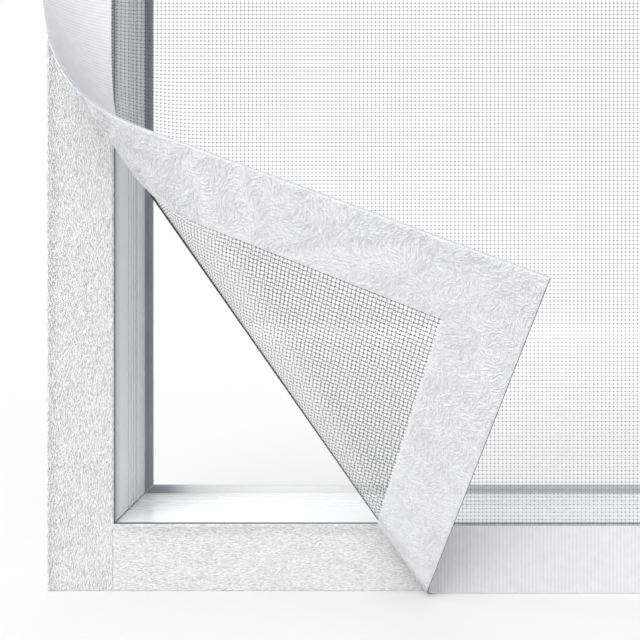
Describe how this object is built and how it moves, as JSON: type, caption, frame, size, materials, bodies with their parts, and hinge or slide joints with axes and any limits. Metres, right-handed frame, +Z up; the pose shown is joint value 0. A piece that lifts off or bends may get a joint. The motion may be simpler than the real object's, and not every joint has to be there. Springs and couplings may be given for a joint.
{
  "type": "hook-and-loop insect screen",
  "caption": "Framed insect screen of fine mesh with a hook-and-loop cloth border, its lower left corner peeled away from the hook tape on a mitred white frame.",
  "frame": {"origin": "centre of the frame's underside", "axes": "+Z up, -Y to the front where the screen and its peeled corner are, +X to the right seen from the front"},
  "size_m": [0.4, 0.1391, 0.48],
  "materials": {
    "white_frame": "smooth white extruded plastic, satin",
    "grey_gasket": "matt mid-grey rubber",
    "hook_tape": "rough white hook tape",
    "loop_fleece": "white napped loop pile",
    "ribbed_tape": "white tape woven with fine ribs across it",
    "insect_mesh": "open grey thread mesh"
  },
  "bodies": {
    "root": {"frame_left": "white_frame", "frame_right": "white_frame", "frame_bottom": "white_frame", "frame_top": "white_frame", "gasket_left": "grey_gasket", "gasket_right": "grey_gasket", "gasket_bottom": "grey_gasket", "gasket_top": "grey_gasket", "hook_tape_left": "hook_tape", "hook_tape_right": "hook_tape", "hook_tape_bottom": "hook_tape", "hook_tape_top": "hook_tape", "loop_tape_left": "loop_fleece", "loop_tape_right": "loop_fleece", "loop_tape_bottom": "loop_fleece", "loop_tape_top": "loop_fleece", "cover_tape_left": "ribbed_tape", "cover_tape_right": "ribbed_tape", "cover_tape_bottom": "ribbed_tape", "cover_tape_top": "ribbed_tape", "mesh_panel": "insect_mesh"}
  },
  "joints": []
}
